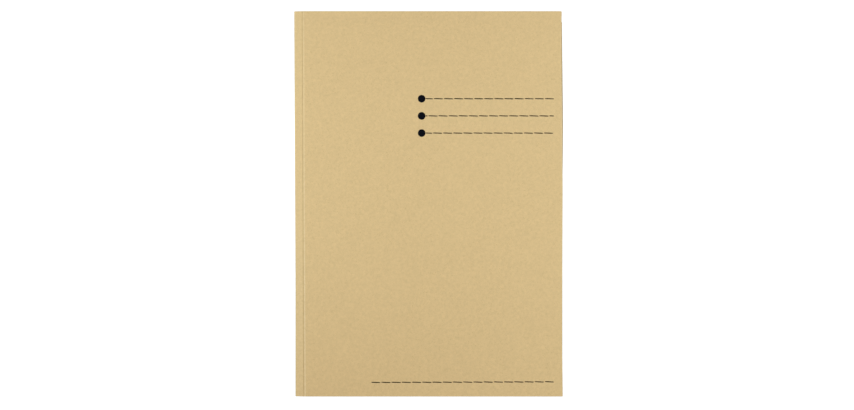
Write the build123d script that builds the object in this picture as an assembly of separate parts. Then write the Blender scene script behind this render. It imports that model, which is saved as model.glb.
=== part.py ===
from build123d import *
import os
from math import asin, atan2, cos, degrees, hypot, radians, sin, tan

# A document folder of manila card, lying closed on its back cover. It is one creased sheet, made here
# as its panels, the creases between them and the print. X runs from the spine to the fore edge, Y
# from the foot to the head, and Z up. The origin is under the middle of the closed folder.

# Sheet and creases, in millimetres
board = 0.38
closed_width = 241.0
closed_height = 348.0
fold_radius = 0.26
strip_width = 7.3
score_clearance = 0.03

# Air between the layers of the closed, empty folder
flap_spring = 0.4
layer_gap = 0.42

# Covers
cover_side_inset = 0.7
cover_end_inset = 0.15
cover_corner = 2.0

# Flaps
end_flap_depth = 63.0
end_flap_relief = 3.0
end_flap_taper = 45.0
side_flap_depth = 93.0
side_flap_inset = 10.0
side_flap_taper = 8.0
flap_corner = 16.0

# Print on the front cover
ink = 0.02
print_margin = 7.1
dot_diameter = 6.9
dot_gap = 0.1
title_drop = 79.05
title_pitch = 15.5
title_length = 119.3
title_dash = 8.25
title_shifts = (1.63, 6.53, 2.38)
foot_rise = 12.95
foot_length = 164.6
foot_dash = 8.38
foot_shift = 0.33
dash_stroke = 0.88
dash_gap = 0.85
dash_tilt = 2.0

# Every fold turns about a line level with the middle of the air inside it
fold_outside = fold_radius + board
fold_middle = fold_radius + board / 2
fold_height = board + fold_radius
back_width = closed_width - 2 * fold_outside
back_height = closed_height - 2 * fold_outside
score_gap = board / 2 + score_clearance

# Undersides of the three layers that lie above the back cover
end_flap_under = board + 2 * fold_radius + flap_spring
side_flap_under = end_flap_under + board + layer_gap
cover_under = side_flap_under + board + layer_gap
cover_top = cover_under + board
cover_height = closed_height - 2 * cover_end_inset


def lean_of(under):
    """Angle at which a strip climbs from its fold to a panel whose underside is at this height."""
    climb = under + board / 2 - fold_height
    return asin(climb / hypot(fold_middle, strip_width)) - atan2(fold_middle, strip_width)


def score_of(under):
    """Distance in from the fold line, and height, of the score between a strip and its panel."""
    lean = lean_of(under)
    return strip_width * cos(lean) - fold_middle * sin(lean), under + board / 2


def fold_band(length, under):
    """The half-round band of card from the back cover's edge over to the foot of a strip."""
    start = 90 + degrees(lean_of(under))
    sweep = 270 - start
    outer = CenterArc((0, fold_height), fold_outside, start, sweep)
    inner = CenterArc((0, fold_height), fold_radius, start, sweep)
    ends = Line(outer @ 0, inner @ 0) + Line(outer @ 1, inner @ 1)
    section = make_face(outer + inner + ends)
    return extrude(Plane.XZ * section, amount=length / 2, both=True)


def half_length(base, taper, distance):
    """Half the length of a tapered flap, this far from its fold."""
    return base / 2 - distance * tan(radians(taper))


def strip(base, taper, under):
    """The narrow panel between a fold and its score."""
    lean = lean_of(under)
    foot = half_length(base, taper, 0)
    end_at = strip_width - score_gap
    end = half_length(base, taper, end_at)
    outline = make_face(Polyline((0, -foot), (end_at, -end), (end_at, end), (0, foot), close=True))
    middle = Plane(
        origin=(-fold_middle * sin(lean), 0, fold_height + fold_middle * cos(lean)),
        x_dir=(cos(lean), 0, sin(lean)),
        z_dir=(-sin(lean), 0, cos(lean)),
    )
    return extrude(middle * outline, amount=board / 2, both=True)


def score(base, taper, under):
    """The bead of crushed card along a score, on the line about which the panel turns."""
    inward, height = score_of(under)
    length = 2 * half_length(base, taper, strip_width)
    return Pos(inward, 0, height) * Rot(90, 0, 0) * Cylinder(board / 2, length)


def panel(base, taper, under, depth, corner, square_corners=0):
    """The panel beyond a score, with its free corners rounded, all but the first few along Y."""
    inward, height = score_of(under)
    near = half_length(base, taper, strip_width + score_gap)
    far = half_length(base, taper, strip_width + depth)
    outline = make_face(
        Polyline((score_gap, -near), (depth, -far), (depth, far), (score_gap, near), close=True)
    )
    free_corners = outline.vertices().group_by(Axis.X)[-1].sort_by(Axis.Y)
    outline = fillet(free_corners[square_corners:], corner)
    return extrude(Pos(inward, 0, height) * outline, amount=board / 2, both=True)


def dashes(start, end, y, dash, shift):
    """Dashes of a writing line, each falling a little to the right, the first cut short by its shift."""
    marks = []
    left = start - shift
    while left < end:
        a = max(left, start)
        b = min(left + dash, end)
        if b - a > dash_stroke:
            middle = Pos((a + b) / 2, y, cover_top + ink / 2)
            marks.append(middle * Rot(0, 0, -dash_tilt) * Box(b - a, dash_stroke, ink))
        left += dash + dash_gap
    return marks


# Where each edge's fold line lies, and which way is inwards from it
spine_edge = Pos(-back_width / 2, 0, 0)
side_edge = Pos(back_width / 2, 0, 0) * Rot(0, 0, 180)
top_edge = Pos(0, back_height / 2, 0) * Rot(0, 0, -90)
bottom_edge = Pos(0, -back_height / 2, 0) * Rot(0, 0, 90)

# Back cover
back_outline = fillet(Rectangle(back_width, back_height).vertices().group_by(Axis.X)[-1], cover_corner)
parts = {"back_cover": extrude(back_outline, amount=board)}

# Spine and front cover, whose free corner at the foot is square
cover_fore_edge = closed_width / 2 - cover_side_inset
cover_depth = cover_fore_edge + back_width / 2 - score_of(cover_under)[0]
parts["spine_fold"] = spine_edge * fold_band(cover_height, cover_under)
parts["spine_strip"] = spine_edge * strip(cover_height, 0, cover_under)
parts["front_score"] = spine_edge * score(cover_height, 0, cover_under)
parts["front_cover"] = spine_edge * panel(cover_height, 0, cover_under, cover_depth, cover_corner, 1)

# Three flaps, each with its fold, strip and score
end_flap_base = back_width - 2 * end_flap_relief
side_flap_base = closed_height - 2 * side_flap_inset
flaps = (
    ("top", top_edge, end_flap_base, end_flap_taper, end_flap_under, end_flap_depth),
    ("bottom", bottom_edge, end_flap_base, end_flap_taper, end_flap_under, end_flap_depth),
    ("side", side_edge, side_flap_base, side_flap_taper, side_flap_under, side_flap_depth),
)
for name, edge, base, taper, under, depth in flaps:
    parts[name + "_fold"] = edge * fold_band(base, under)
    parts[name + "_strip"] = edge * strip(base, taper, under)
    parts[name + "_score"] = edge * score(base, taper, under)
    parts[name + "_flap"] = edge * panel(base, taper, under, depth, flap_corner)

# Print: dots with dashed writing lines, and a dashed line along the foot
line_end = cover_fore_edge - print_margin
dot_x = line_end - title_length
dots = []
title_marks = []
for row, shift in enumerate(title_shifts):
    y = cover_height / 2 - title_drop - row * title_pitch
    dots.append(Pos(dot_x, y, cover_top + ink / 2) * Cylinder(dot_diameter / 2, ink))
    line_start = dot_x + dot_diameter / 2 + dot_gap
    title_marks += dashes(line_start, line_end, y, title_dash, shift)
foot_start = line_end - foot_length
foot_y = foot_rise - cover_height / 2
parts["title_dots"] = Compound(dots)
parts["title_lines"] = Compound(title_marks)
parts["foot_line"] = Compound(dashes(foot_start, line_end, foot_y, foot_dash, foot_shift))

os.makedirs("parts", exist_ok=True)
for name, shape in parts.items():
    export_step(shape, f"parts/{name}.step")
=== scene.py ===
import bpy
import numpy as np
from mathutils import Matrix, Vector


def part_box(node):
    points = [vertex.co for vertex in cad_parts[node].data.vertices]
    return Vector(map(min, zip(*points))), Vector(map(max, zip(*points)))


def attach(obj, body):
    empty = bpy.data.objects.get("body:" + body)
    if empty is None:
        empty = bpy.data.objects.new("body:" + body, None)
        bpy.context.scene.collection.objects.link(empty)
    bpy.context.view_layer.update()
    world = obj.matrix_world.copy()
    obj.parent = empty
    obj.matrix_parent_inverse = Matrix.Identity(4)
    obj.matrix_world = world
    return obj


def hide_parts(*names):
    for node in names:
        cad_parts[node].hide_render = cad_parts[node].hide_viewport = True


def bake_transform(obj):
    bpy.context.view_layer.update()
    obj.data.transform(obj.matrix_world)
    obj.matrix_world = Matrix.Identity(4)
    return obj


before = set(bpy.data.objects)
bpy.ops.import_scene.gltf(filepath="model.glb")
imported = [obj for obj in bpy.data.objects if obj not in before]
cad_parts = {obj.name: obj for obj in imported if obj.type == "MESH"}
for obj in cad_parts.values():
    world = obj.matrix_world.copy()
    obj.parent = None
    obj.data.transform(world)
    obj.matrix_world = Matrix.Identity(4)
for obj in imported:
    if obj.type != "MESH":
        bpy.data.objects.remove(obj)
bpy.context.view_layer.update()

# Back cover. The panel that lies on the table, one face of a single die-cut sheet of manila card.
# The card is unbleached and recycled fibre, pressed and calendered but not coated. Three of this
# panel's edges carry flaps and the fourth the spine, all folded up out of the same sheet.


def corners(node):
    """Lowest and highest corner of a CAD node, in millimetres."""
    return [np.array(corner) * 1000 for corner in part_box(node)]


back_low, back_high = corners("back_cover")
board = back_high[2] - back_low[2]
back_corner = 2.0
corner_rows = 16
cut_round = 0.05
cut_thinning = 0.3
grid_step = 6.0
sharp_angle = np.radians(40)
upright = np.array([0.0, 0.0, 1.0])


def spaced(start, end, step, cut_ends):
    """Places from start to end, about a step apart, with two close together at each end if it is cut."""
    places = np.linspace(start, end, 2 + int(abs(end - start) / step))
    if not cut_ends:
        return places
    near = np.array([1.0, 2.0]) * cut_round * np.sign(end - start)
    return np.concatenate([places[:1], start + near, places[1:-1], end - near[::-1], places[-1:]])


def panel_rows(start, depth, base, taper, corner):
    """Rows of a panel, as distances from its crease and half-lengths. Up to where the free corner
    starts, half-length = base / 2 - distance * tan(taper). From there both follow a quarter round of
    the corner's radius, which touches the slanting side and the free edge."""
    centre = depth - corner
    centre_half = base / 2 - centre * np.tan(taper) - corner / np.cos(taper)
    straight = spaced(start, centre + corner * np.sin(taper), grid_step, False)
    turn = np.linspace(taper, np.pi / 2, corner_rows + 1)[1:]
    distance = np.concatenate([straight, centre + corner * np.sin(turn)])
    half = np.concatenate([base / 2 - straight * np.tan(taper), centre_half + corner * np.cos(turn)])
    return distance, half


def card_faces(rows, columns):
    """Quads of a closed card: a grid on top, the same grid turned over beneath it, and a band
    between the two round the cut edge."""
    grid = np.arange(rows * columns).reshape(rows, columns)
    top = np.stack([grid[:-1, :-1], grid[1:, :-1], grid[1:, 1:], grid[:-1, 1:]], -1).reshape(-1, 4)
    rim = np.concatenate([grid[:-1, 0], grid[-1, :-1], grid[:0:-1, -1], grid[0, :0:-1]])
    ahead = np.roll(rim, -1)
    edge = np.stack([rim, rim + grid.size, ahead + grid.size, ahead], -1)
    return np.concatenate([top, top[:, ::-1] + grid.size, edge])


def closed_piece(name, points, faces, finish):
    """A smooth object at the origin, from points in millimetres and quads."""
    mesh = bpy.data.meshes.new(name)
    mesh.from_pydata((points / 1000).tolist(), [], faces.tolist())
    mesh.shade_smooth()
    mesh.materials.append(finish)
    piece = bpy.data.objects.new(name, mesh)
    bpy.context.scene.collection.objects.link(piece)
    return piece


def card_piece(name, middle, normal, free_edge, groove=0.0, bead=0.0, painted_highlight=0.0, crush_shade=0.0):
    """Closed card from the middle of its thickness: each face is the middle plus or minus half the
    board along the normal, less on the cut edges so that they are eased. Both sides are cut, and so is
    the last row if it is a free edge. A groove sinks the upper face and a bead swells the lower one.
    Two more values tint the card: one draws a painted highlight, paler card where light would catch it,
    and the other draws painted shade in creases, darker card, with the crushed fibres of a score."""
    is_cut = np.zeros(middle.shape[:2])
    is_cut[-1, :] = free_edge
    is_cut[:, [0, -1]] = 1.0
    half = board / 2 * (1 - cut_thinning * is_cut)
    upper = middle + normal * (half - groove)[..., None]
    lower = middle - normal * (half + bead)[..., None]
    points = np.concatenate([upper.reshape(-1, 3), lower.reshape(-1, 3)])
    piece = closed_piece(name, points, card_faces(*is_cut.shape), manila)
    for label, values in (("cut_edge", is_cut), ("painted_highlight_card", painted_highlight), ("crush_shade_card", crush_shade)):
        layer = piece.data.attributes.new(label, "FLOAT", "POINT")
        values = np.broadcast_to(values, is_cut.shape).ravel()
        layer.data.foreach_set("value", np.tile(values, 2).astype(np.float32))
    piece.data.set_sharp_from_angle(angle=sharp_angle)
    return piece


def linear(colour):
    """Linear RGBA of an sRGB hex colour: the sRGB curve undone in each channel."""
    srgb = np.array([int(colour[i:i + 2], 16) for i in (1, 3, 5)]) / 255
    rgb = np.where(srgb <= 0.04045, srgb / 12.92, ((srgb + 0.055) / 1.055) ** 2.4)
    return (*rgb.tolist(), 1.0)


def add(tree, kind, inputs=None, **settings):
    """One node with its settings, each input given as a value or as the output that feeds it."""
    node = tree.nodes.new(kind)
    for key, value in settings.items():
        setattr(node, key, value)
    for socket, value in (inputs or {}).items():
        if isinstance(value, bpy.types.NodeSocket):
            tree.links.new(value, node.inputs[socket])
        else:
            node.inputs[socket].default_value = value
    return node


def surface(name):
    """A new material, its tree and its Principled shader."""
    finish = bpy.data.materials.new(name)
    finish.use_nodes = True
    return finish, finish.node_tree, finish.node_tree.nodes["Principled BSDF"]


# Manila card: buff and dull, with a cloudy formation, and with fibres and a few dark splinters that lie
# in several directions. The calendered skin is gone from a cut edge, which is paler. The same pale colour
# is mixed in as a painted highlight and sheen where light catches the card, and creases are drawn darker
# as painted shade, with denser crushed card in the scores. Real fibres and splinters are several
# times finer, and these are drawn as coarse as they need to show.
manila_colour = "#D6BC89"
manila_splinter = "#B0925C"
manila_bare_and_highlight = "#E2CFA4"
formation_mm = 2.3
formation_depth = 0.215
cloud_mm = 24.0
cloud_depth = 0.04
lay_directions = (0.5, 1.6, 2.7)
fibre_mm, fibre_length_mm = 0.45, 4.0
fibre_depth = 0.07
splinter_mm, splinter_length_mm = 0.24, 1.8
splinter_turn = 0.4
splinter_from, splinter_to = 0.75, 0.81
splinter_depth = 0.5
mean_shade = 1.005
crush_shade_depth = 0.15
card_roughness, roughness_span = 0.72, 0.14
card_relief_mm = 0.06

# In a colour Mix node, sockets 6 and 7 are the two colours and output 2 is the result
manila, tree, shader = surface("manila_card")
place = add(tree, "ShaderNodeTexCoord").outputs["Object"]
formation = add(tree, "ShaderNodeTexNoise", {
    "Vector": place, "Scale": 1000 / formation_mm, "Detail": 2.0, "Roughness": 0.6}).outputs["Fac"]
cloud = add(tree, "ShaderNodeTexNoise", {
    "Vector": place, "Scale": 1000 / cloud_mm, "Detail": 2.0}).outputs["Fac"]
mean_depth = (formation_depth + cloud_depth + len(lay_directions) * fibre_depth) / 2
shade = add(tree, "ShaderNodeMath", {0: formation, 1: formation_depth, 2: mean_shade - mean_depth},
            operation="MULTIPLY_ADD").outputs[0]
shade = add(tree, "ShaderNodeMath", {0: cloud, 1: cloud_depth, 2: shade},
            operation="MULTIPLY_ADD").outputs[0]
splinters = 0.0
for turn in lay_directions:
    lay = add(tree, "ShaderNodeMapping", {
        "Vector": place, "Rotation": (0, 0, turn),
        "Scale": (fibre_mm / 1000, fibre_length_mm / 1000, fibre_mm / 1000)}, vector_type="TEXTURE")
    fibre = add(tree, "ShaderNodeTexNoise", {"Vector": lay.outputs[0], "Scale": 1.0, "Detail": 1.0})
    shade = add(tree, "ShaderNodeMath", {0: fibre.outputs["Fac"], 1: fibre_depth, 2: shade},
                operation="MULTIPLY_ADD").outputs[0]
    lay = add(tree, "ShaderNodeMapping", {
        "Vector": place, "Rotation": (0, 0, turn + splinter_turn), "Location": (turn, turn, 0),
        "Scale": (splinter_mm / 1000, splinter_length_mm / 1000, splinter_mm / 1000)},
        vector_type="TEXTURE")
    splinter = add(tree, "ShaderNodeTexNoise", {
        "Vector": lay.outputs[0], "Scale": 1.0, "Detail": 0.0, "Distortion": 0.5})
    here = add(tree, "ShaderNodeMapRange", {
        "Value": splinter.outputs["Fac"], "From Min": splinter_from, "From Max": splinter_to,
        "To Min": 0.0, "To Max": splinter_depth})
    splinters = add(tree, "ShaderNodeMath", {0: splinters, 1: here.outputs[0]},
                    operation="MAXIMUM").outputs[0]
# Darker in creases and folds: painted shade, with denser crushed card in the scores
crush_shade = add(tree, "ShaderNodeAttribute", attribute_name="crush_shade_card").outputs["Fac"]
crush_shaded_tone = add(tree, "ShaderNodeMath", {0: crush_shade, 1: -crush_shade_depth, 2: shade}, operation="MULTIPLY_ADD")
tint = add(tree, "ShaderNodeVectorMath", {0: linear(manila_colour)[:3], "Scale": crush_shaded_tone.outputs[0]},
           operation="SCALE")
tint = add(tree, "ShaderNodeMix", {0: splinters, 6: tint.outputs[0], 7: linear(manila_splinter)},
           data_type="RGBA")
# Paler towards the bare colour where a painted highlight and sheen is drawn
painted_highlight = add(tree, "ShaderNodeAttribute", attribute_name="painted_highlight_card").outputs["Fac"]
highlight_here = add(tree, "ShaderNodeMath", {0: painted_highlight, 1: formation}, operation="MULTIPLY")
tint = add(tree, "ShaderNodeMix", {0: highlight_here.outputs[0], 6: tint.outputs[2], 7: linear(manila_bare_and_highlight)},
           data_type="RGBA")
bare = add(tree, "ShaderNodeAttribute", attribute_name="cut_edge").outputs["Fac"]
tint = add(tree, "ShaderNodeMix", {0: bare, 6: tint.outputs[2], 7: linear(manila_bare_and_highlight)}, data_type="RGBA")
dull = add(tree, "ShaderNodeMath", {0: formation, 1: roughness_span, 2: card_roughness},
           operation="MULTIPLY_ADD")
relief = add(tree, "ShaderNodeBump", {"Strength": 0.6, "Distance": card_relief_mm / 1000, "Height": shade})
shader.inputs["IOR"].default_value = 1.5
shader.inputs["Specular IOR Level"].default_value = 0.3
tree.links.new(tint.outputs[2], shader.inputs["Base Color"])
tree.links.new(dull.outputs[0], shader.inputs["Roughness"])
tree.links.new(relief.outputs[0], shader.inputs["Normal"])

back_depth = back_high[0] - back_low[0]
back_base = back_high[1] - back_low[1]
distance, half = panel_rows(0.0, back_depth, back_base, 0.0, back_corner)
across = spaced(-back_base / 2, back_base / 2, grid_step, True) / (back_base / 2)
middle = np.stack(np.broadcast_arrays(
    back_low[0] + distance[:, None], half[:, None] * across, board / 2), -1)
back_card = card_piece("back_cover_card", middle, upright, True)
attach(back_card, "back")
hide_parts("back_cover")

# Folds. At each edge of the back cover the card is scored and folded right over, in a half round as
# tight as the board allows. The flaps' folds are painted darker, as painted shade on their rounded
# sides, and the spine's fold is painted paler, as a painted highlight where it faces the light.
fold_low, fold_high = corners("spine_fold")
fold_radius = fold_high[0] - fold_low[0] - board
fold_middle = fold_radius + board / 2
fold_height = fold_radius + board
fold_rows = 21
flap_fold_shade = 2.0
spine_fold_highlight = 0.7
strip_width = 7.3
end_taper = np.radians(45.0)
side_taper = np.radians(8.0)

# The folds at the sides aren't pressed down evenly. The spine opens out towards the head, and the side
# fold swells below the head and is tucked in at the head. The front score is a hair out of square.
front_out_of_square = 0.004
spine_swell = 0.06
spine_spread, spread_from = 0.0051, -68.0
side_swell, side_swell_at, side_swell_reach = 0.6, 68.0, 44.0
side_tuck, tuck_from, tuck_to = 0.25, 110.0, 160.0


def ease(low, high, value):
    """Smooth step: 0 up to low, 1 from high, 3t^2 - 2t^3 between."""
    t = np.clip((value - low) / (high - low), 0, 1)
    return t * t * (3 - 2 * t)


class Edge:
    """One hinged edge: its score and panel in the CAD, the bodies of its strip and panel, its fold line,
    the direction inwards from it, and the strip's slope. The strip climbs from the fold's half round to
    its score, so its lean is the angle whose sine is the climb over the distance from the fold line to
    the score, less the angle that the half round's radius takes up."""

    def __init__(self, name, nodes, bodies, origin, inward, taper, out_of_square=0.0):
        self.name = name
        self.score, self.panel = nodes
        self.strip_body, self.panel_body = bodies
        self.origin, self.inward = np.array(origin), np.array(inward)
        self.taper, self.out_of_square = taper, out_of_square
        fold_low, fold_high = corners(name + "_fold")
        self.base = abs((fold_high - fold_low)[:2] @ self.inward[::-1])
        self.across = spaced(-self.base / 2, self.base / 2, grid_step, True) / (self.base / 2)
        panel_low, panel_high = corners(self.panel)
        self.score_height = (panel_low[2] + panel_high[2]) / 2
        climb = self.score_height - fold_height
        taken_up = np.arctan2(fold_middle, strip_width)
        self.lean = np.arcsin(climb / np.hypot(fold_middle, strip_width)) - taken_up
        self.rise, self.reach = np.sin(self.lean), np.cos(self.lean)
        self.score_line = strip_width * self.reach - fold_middle * self.rise
        self.skew = out_of_square * self.half_at(strip_width) * self.across

    def half_at(self, distance):
        """Half the length of a tapered strip or flap: base / 2 - distance * tan(taper)."""
        return self.base / 2 - distance * np.tan(self.taper)

    def place(self, distance, along, height):
        """Points from distances inwards, places along the edge and heights."""
        distance, along, height = np.broadcast_arrays(distance, along, height)
        side = np.array([-self.inward[1], self.inward[0]])
        flat = self.origin + distance[..., None] * self.inward + along[..., None] * side
        return np.concatenate([flat, height[..., None]], -1)

    def turn(self, distance, height):
        """A direction from its inward and upward parts."""
        return self.place(distance, 0.0, height) - self.place(0.0, 0.0, 0.0)


edges = (
    Edge("spine", ("front_score", "front_cover"), ("spine", "cover"),
         (back_low[0], 0.0), (1.0, 0.0), 0.0, front_out_of_square),
    Edge("top", ("top_score", "top_flap"), ("top_gusset", "top_leaf"),
         (0.0, back_high[1]), (0.0, -1.0), end_taper),
    Edge("bottom", ("bottom_score", "bottom_flap"), ("bottom_gusset", "bottom_leaf"),
         (0.0, back_low[1]), (0.0, 1.0), end_taper),
    Edge("side", ("side_score", "side_flap"), ("side_gusset", "side_leaf"),
         (back_high[0], 0.0), (-1.0, 0.0), side_taper),
)
for edge in edges:
    # Half round from the back cover's edge, out and over to the foot of the strip
    angle = np.linspace(1.5 * np.pi, 0.5 * np.pi + edge.lean, fold_rows)[:, None]
    bent = np.sin(np.linspace(0, np.pi, fold_rows))[:, None]
    along = edge.base / 2 * edge.across
    y = edge.place(0.0, along, 0.0)[:, 1]
    # Painted shade on the flaps' folds, and a painted highlight on the spine's fold
    swell, fold_highlight, fold_shade = np.zeros_like(along), 0.0, flap_fold_shade * bent
    if edge.name == "spine":
        swell = spine_swell + spine_spread * np.clip(y - spread_from, 0, None)
        fold_highlight, fold_shade = spine_fold_highlight * bent, 0.0
    if edge.name == "side":
        swell = side_swell * np.exp(-((y - side_swell_at) / side_swell_reach) ** 2)
        swell = swell - side_tuck * ease(tuck_from, tuck_to, y)
    middle = edge.place(fold_middle * np.cos(angle) - swell * bent, along,
                        fold_height + fold_middle * np.sin(angle))
    fold = card_piece(edge.name + "_fold_card", middle, edge.turn(np.cos(angle), np.sin(angle)), False,
                      painted_highlight=fold_highlight, crush_shade=fold_shade)
    foot = edge.place(0.0, 0.0, 0.0) / 1000
    head = edge.place(0.0, 0.0, 2 * fold_height) / 1000
    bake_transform(fold)
    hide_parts(edge.name + "_fold")

# Strips. Between each fold and its score a narrow strip of the card leans up, as high as the layers
# under its panel. In a full folder it stands and makes the folder's thickness.
score_half = 1.3
strip_flat = strip_width - score_half
strip_rows = 6
strip_sheen, sheen_fade_from, sheen_fade_to = 0.22, -60.0, 60.0
crease_gap = 0.03
for edge in edges:
    # A ruled surface from the foot, just clear of the fold, to the head, where the score begins
    share = np.linspace(crease_gap / strip_width, 1.0, strip_rows)[:, None]
    run = strip_flat * edge.reach - edge.skew
    climb = strip_flat * edge.rise
    along = edge.half_at(share * strip_flat) * edge.across
    middle = edge.place(share * run - fold_middle * edge.rise, along,
                        fold_height + fold_middle * edge.reach + share * climb)
    slant = np.hypot(run, climb) * np.ones_like(share)
    # The strips are painted paler: a painted sheen, as where a leaning strip catches the light
    painted_highlight = strip_sheen
    if edge.name == "spine":
        # The strip on the front has less painted sheen towards the head
        painted_highlight = strip_sheen * (1 - ease(sheen_fade_from, sheen_fade_to, along))
    strip = card_piece(edge.name + "_strip_card", middle, edge.turn(-climb / slant, run / slant), False,
                       painted_highlight=painted_highlight)
    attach(strip, edge.strip_body)
    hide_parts(edge.name + "_strip")

# Scores. A rounded steel rule has pressed a line into the card between each strip and its panel. It
# leaves a shallow groove outside and a low bead inside, and the card bends a little along it.
score_depth = 0.3
score_bead = 0.18
score_rows = 27

# Shares of the score's width, from the strip to the panel, over which the groove sinks and comes back
# up, and over which the band of painted shade, with its crushed card, and the painted highlight band
# come and go. The groove is steep on the strip's side and runs out gently on the panel's.
groove_in, groove_out = (0.08, 0.33), (0.33, 0.80)
crush_shade_in, crush_shade_out = (-0.03, 0.07), (0.34, 0.48)
highlight_in, highlight_out = (0.44, 0.60), (0.75, 1.0)

# A score's painted shade and painted highlight are strongest towards one end, which on the front is the
# foot
low_from, low_to = -100.0, 60.0
crush_shade_least, crush_shade_more = 0.62, 0.1
highlight_least, highlight_more = 0.62, 0.83


def band(rises, falls, share):
    """A band across a score: a smooth step up over the first span, and down again over the second."""
    return ease(*rises, share) * (1 - ease(*falls, share))


for edge in edges:
    # The path is a parabola that leaves along the strip and arrives level with the panel
    step = np.linspace(0.0, 1.0, score_rows)[:, None]
    before, after = (1 - step) ** 2, step ** 2
    path = edge.score_line + score_half * (after - before * edge.reach)
    height = edge.score_height - score_half * before * edge.rise
    slope = np.arctan2((1 - step) * edge.rise, (1 - step) * edge.reach + step)
    along = edge.half_at(strip_width + (2 * step - 1) * score_half) * edge.across
    middle = edge.place(path - edge.skew, along, height)
    sunk = band(groove_in, groove_out, step) * np.ones_like(edge.across)
    low = ease(low_from, low_to, -along)
    # Painted shade in the groove, along with its crushed card, and a painted highlight where it runs out
    crush_shade = (crush_shade_least + crush_shade_more * low) * band(crush_shade_in, crush_shade_out, step)
    painted_highlight = (highlight_least + highlight_more * low) * band(highlight_in, highlight_out, step)
    score = card_piece(edge.score + "_card", middle, edge.turn(-np.sin(slope), np.cos(slope)), False,
                       score_depth * sunk, score_bead * sunk, painted_highlight, crush_shade)
    near = edge.place(edge.score_line - score_half * edge.reach, 0.0,
                      edge.score_height - score_half * edge.rise) / 1000
    far = edge.place(edge.score_line + score_half, 0.0, edge.score_height) / 1000
    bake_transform(score)
    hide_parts(edge.score)

# Flaps and front cover. The panels beyond the scores: the two end flaps with mitred ends, the side
# flap that lies over them, and the front cover on top. They are cut from the same sheet, so they carry
# the same cloudy card, and like all card they aren't quite flat.
flap_corner = 16.0
front_corner = 1.0
cockle_height = 0.07
cockle_fade = 30.0
wave_x, wave_y = 31.0, 47.0
phase_x, phase_y = 0.7, 0.3
slant_x, slant_y, slant_share = 19.0, 27.0, 0.6

# The cover's fore edge isn't quite straight, and shows the side fold only in its upper part. These are
# places along it and how far it stands out there. A painted highlight makes it paler, least at the foot.
fore_places = (-174.0, -125.0, -50.0, 15.0, 70.0, 130.0, 155.0, 174.0)
fore_drift = (0.92, 0.42, 0.58, 0.9, 0.4, -0.35, -0.4, 0.1)
fore_highlight, fore_highlight_inset = 0.9, 0.3
fore_highlight_from, fore_highlight_to = -120.0, 0.0


def cockle(x, y):
    """Slow waves in the card, 12 to 30 cm long: a sine of X times a sine of Y, and a slanting sine."""
    waves = np.sin(x / wave_x + phase_x) * np.sin(y / wave_y + phase_y)
    return cockle_height * (waves + slant_share * np.sin(x / slant_x - y / slant_y))


for edge in edges:
    on_front = edge.name == "spine"
    ends = np.stack(corners(edge.panel))[:, :2]
    depth = np.abs((ends - edge.origin) @ edge.inward).max() - edge.score_line
    distance, half = panel_rows(score_half, depth, 2 * edge.half_at(strip_width), edge.taper,
                                front_corner if on_front else flap_corner)
    distance = distance[:, None]
    share = distance / depth
    half = half[:, None] * np.ones_like(edge.across)
    if on_front:
        # The free corner at the foot is square
        half[:, edge.across < 0] = edge.base / 2
    along = half * edge.across
    inward = edge.score_line + distance - (1 - share) * edge.out_of_square * along
    painted_highlight = 0.0
    if on_front:
        inward = inward + np.interp(along, fore_places, fore_drift) * share
        # A painted highlight along the fore edge, where the edge catches the light
        painted_highlight = fore_highlight * ease(depth - front_corner, depth - fore_highlight_inset, distance)
        painted_highlight = painted_highlight * ease(fore_highlight_from, fore_highlight_to, along)
    middle = edge.place(inward, along, edge.score_height)
    # The waves fade out at the score
    middle[..., 2] += cockle(middle[..., 0], middle[..., 1]) * ease(score_half, cockle_fade, distance)
    panel = card_piece(edge.panel + "_card", middle, upright, True, painted_highlight=painted_highlight)
    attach(panel, edge.panel_body)
    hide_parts(edge.panel)

# Print. Three round dots, each with a dashed writing line, and one more dashed line along the foot,
# printed in black on the front cover. The ink is a thin film that sinks into the card a little.
ink_film = 0.012
ink_lift = 0.004
cover_top = corners("front_cover")[1][2]

# Black printing ink: a dull bluish black, a little browner where it lies thin on the card's formation
ink_colour = "#06070F"
ink_thin = "#121013"
thin_from, thin_to = 0.55, 0.8
ink_roughness, ink_roughness_span = 0.5, 0.2
ink_relief_mm = 0.03

ink, tree, shader = surface("black_printing_ink")
place = add(tree, "ShaderNodeTexCoord").outputs["Object"]
formation = add(tree, "ShaderNodeTexNoise", {
    "Vector": place, "Scale": 1000 / formation_mm, "Detail": 3.0, "Roughness": 0.6}).outputs["Fac"]
thin = add(tree, "ShaderNodeMapRange", {"Value": formation, "From Min": thin_from, "From Max": thin_to})
tint = add(tree, "ShaderNodeMix", {0: thin.outputs[0], 6: linear(ink_colour), 7: linear(ink_thin)},
           data_type="RGBA")
dull = add(tree, "ShaderNodeMath", {0: formation, 1: ink_roughness_span, 2: ink_roughness},
           operation="MULTIPLY_ADD")
relief = add(tree, "ShaderNodeBump", {
    "Strength": 0.6, "Distance": ink_relief_mm / 1000, "Height": formation})
shader.inputs["IOR"].default_value = 1.5
shader.inputs["Specular IOR Level"].default_value = 0.03
tree.links.new(tint.outputs[2], shader.inputs["Base Color"])
tree.links.new(dull.outputs[0], shader.inputs["Roughness"])
tree.links.new(relief.outputs[0], shader.inputs["Normal"])


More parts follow.
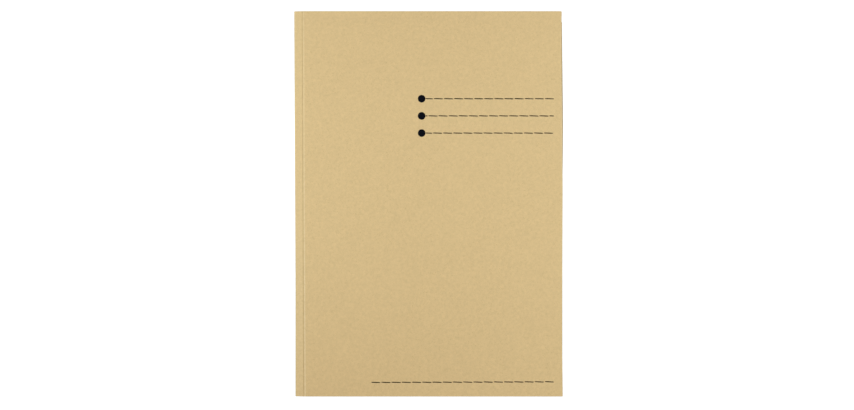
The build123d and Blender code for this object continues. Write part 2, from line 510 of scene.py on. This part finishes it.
def print_piece(name, node, centre_x, centre_y, shape_x, shape_y, edge_share):
    """Ink marks as one mesh: the same patch, an upper and a lower grid joined round the edge, set at
    each centre on the cover. The film's height eases to nothing at the patch's edge, where its edge
    share is 1."""
    marks = len(centre_x)
    x = (centre_x[:, None, None] + shape_x).reshape(marks, -1)
    y = (centre_y[:, None, None] + shape_y).reshape(marks, -1)
    card = cover_top + cockle(x, y)
    film = ink_film * (1 - edge_share.ravel())
    upper = np.stack([x, y, card + film + ink_lift], -1)
    lower = np.stack([x, y, card - ink_film], -1)
    points = np.concatenate([upper, lower], 1).reshape(-1, 3)
    first_points = 2 * edge_share.size * np.arange(marks)[:, None, None]
    faces = (card_faces(*edge_share.shape)[None] + first_points).reshape(-1, 4)
    piece = closed_piece(name, points, faces, ink)
    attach(piece, "cover")
    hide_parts(node)


# A square grid drawn out to a disc: x = u sqrt(1 - v^2 / 2), y = v sqrt(1 - u^2 / 2)
dot_radius = 3.45
dot_steps = np.linspace(-1, 1, 25)
title_rows = 3
u, v = np.meshgrid(dot_steps, dot_steps, indexing="ij")
disc_x, disc_y = u * np.sqrt(1 - v * v / 2), v * np.sqrt(1 - u * u / 2)
dot_low, dot_high = corners("title_dots")
dot_x = (dot_low[0] + dot_high[0]) / 2
rows_y = np.linspace(dot_high[1] - dot_radius, dot_low[1] + dot_radius, title_rows)
print_piece("title_dots_ink", "title_dots", np.full(title_rows, dot_x), rows_y,
            dot_radius * disc_x, dot_radius * disc_y, (disc_x ** 2 + disc_y ** 2) ** 4)

dash_stroke = 0.88
dash_gap = 0.85
dash_tilt = np.radians(2.0)
dash_steps, stroke_steps = np.linspace(-1, 1, 17), np.linspace(-1, 1, 7)
end_narrowing = 0.5
dot_gap = 0.1
title_dash, title_shifts = 8.25, (1.63, 6.53, 2.38)
foot_dash, foot_shift = 8.38, 0.33
foot_slope = 0.0033


def writing_line(start, end, y, dash, shift, slope=0.0):
    """Centres and lengths of a line's dashes: every dash and gap from start less the shift, cut off at
    both ends of the line, with scraps left out. The line may rise along X by its slope."""
    left = np.arange(start - shift, end, dash + dash_gap)
    first, last = np.maximum(left, start), np.minimum(left + dash, end)
    kept = last - first > dash_stroke
    x = (first + last)[kept] / 2
    return x, y + slope * (x - (start + end) / 2), (last - first)[kept]


def dashes(name, node, lines):
    """Dashes of some writing lines. Each is a bar, turned by the tilt, whose ends are rounded by
    narrowing it as the eighth power of the distance from its middle."""
    u, v = np.meshgrid(dash_steps, stroke_steps, indexing="ij")
    x, y, length = (np.concatenate(part) for part in zip(*lines))
    run = length[:, None, None] / 2 * u
    rise = dash_stroke / 2 * v * (1 - end_narrowing * u ** 8)
    shape_x = run * np.cos(dash_tilt) + rise * np.sin(dash_tilt)
    shape_y = rise * np.cos(dash_tilt) - run * np.sin(dash_tilt)
    print_piece(name, node, x, y, shape_x, shape_y, np.maximum(u ** 8, v ** 8))


line_start = dot_x + dot_radius + dot_gap
line_end = corners("title_lines")[1][0]
dashes("title_lines_ink", "title_lines",
       [writing_line(line_start, line_end, y, title_dash, shift) for y, shift in zip(rows_y, title_shifts)])
# The line along the foot is printed a hair out of square
foot_low, foot_high = corners("foot_line")
foot_y = (foot_low[1] + foot_high[1]) / 2
dashes("foot_line_ink", "foot_line",
       [writing_line(foot_low[0], foot_high[0], foot_y, foot_dash, foot_shift, foot_slope)])

# Table, light and camera. A plain white table, an even and slightly warm surround, and two slightly
# cool soft boxes with grids, one low on the left and one overhead that is turned to the right. The
# camera looks straight down through a long lens.
white = linear("#FFFFFF")


def seen_ray(tree):
    """1 for rays that are seen, straight, mirrored or through glass, and 0 for those that only light."""
    ray = add(tree, "ShaderNodeLightPath").outputs
    seen = add(tree, "ShaderNodeMath", {0: ray["Is Camera Ray"], 1: ray["Is Glossy Ray"]},
               operation="MAXIMUM")
    seen = add(tree, "ShaderNodeMath", {0: seen.outputs[0], 1: ray["Is Transmission Ray"]},
               operation="MAXIMUM")
    return seen.outputs[0]


# Matt white paint on the table. It glows where it is seen, so that it shows as plain white, and throws
# back half of the light that falls on it.
table_half = 6.0
table_drop = 0.00005
table_colour = "#B1BCC4"
table_glow = 0.74
mesh = bpy.data.meshes.new("table")
mesh.from_pydata([(-table_half, -table_half, -table_drop), (table_half, -table_half, -table_drop),
                  (table_half, table_half, -table_drop), (-table_half, table_half, -table_drop)],
                 [], [(0, 1, 2, 3)])
table = bpy.data.objects.new("table", mesh)
bpy.context.scene.collection.objects.link(table)

white_paint, tree, shader = surface("matt_white_paint")
mesh.materials.append(white_paint)
shader.inputs["Base Color"].default_value = linear(table_colour)
shader.inputs["Roughness"].default_value = 0.9
shader.inputs["Specular IOR Level"].default_value = 0.0
shader.inputs["Emission Color"].default_value = white
glow = add(tree, "ShaderNodeMath", {0: seen_ray(tree), 1: table_glow}, operation="MULTIPLY")
tree.links.new(glow.outputs[0], shader.inputs["Emission Strength"])

surround = (0.57, 0.5, 0.45, 1.0)
world = bpy.data.worlds.new("white_surround")
world.use_nodes = True
bpy.context.scene.world = world
tree = world.node_tree
tone = add(tree, "ShaderNodeMix", {0: seen_ray(tree), 6: surround, 7: white}, data_type="RGBA")
tree.links.new(tone.outputs[2], tree.nodes["Background"].inputs["Color"])

lamp_tone = (0.86, 1.0, 1.1)
lamp_size = 0.6


def soft_box(name, place, aim, spread, watts):
    """A square soft box at a place, pointing at its aim, with a grid that limits its spread."""
    lamp = bpy.data.lights.new(name, "AREA")
    lamp.shape = "SQUARE"
    lamp.size = lamp_size
    lamp.spread = np.radians(spread)
    lamp.energy = watts
    lamp.color = lamp_tone
    box = bpy.data.objects.new(name, lamp)
    box.location = place
    box.rotation_mode = "QUATERNION"
    box.rotation_quaternion = (Vector(place) - Vector(aim)).to_track_quat("Z", "Y")
    box.visible_camera = False
    bpy.context.scene.collection.objects.link(box)


soft_box("left_soft_box", (-0.655, 0.05, 0.45), (-0.40, 0.09, 0.0), 57.0, 0.745)
soft_box("overhead_soft_box", (0.1, 0.27, 1.38), (0.6, 0.0, 0.0), 66.0, 2.28)

# The camera's place follows from the picture's size, the size of a pixel and where the folder's middle
# is seen, in pixels from the picture's upper left corner
picture_width, picture_height = 854, 410
pixel_mm = 0.9022
seen_at = (428.45, 203.3)
lens = bpy.data.cameras.new("camera")
lens.lens = 100.0
lens.sensor_width = 36.0
camera = bpy.data.objects.new("camera", lens)
camera.location = (
    -(seen_at[0] - (picture_width - 1) / 2) * pixel_mm / 1000,
    (seen_at[1] - (picture_height - 1) / 2) * pixel_mm / 1000,
    cover_top / 1000 + picture_width * pixel_mm / 1000 * lens.lens / lens.sensor_width,
)
bpy.context.scene.collection.objects.link(camera)
bpy.context.scene.camera = camera
bpy.context.scene.view_settings.view_transform = "Standard"
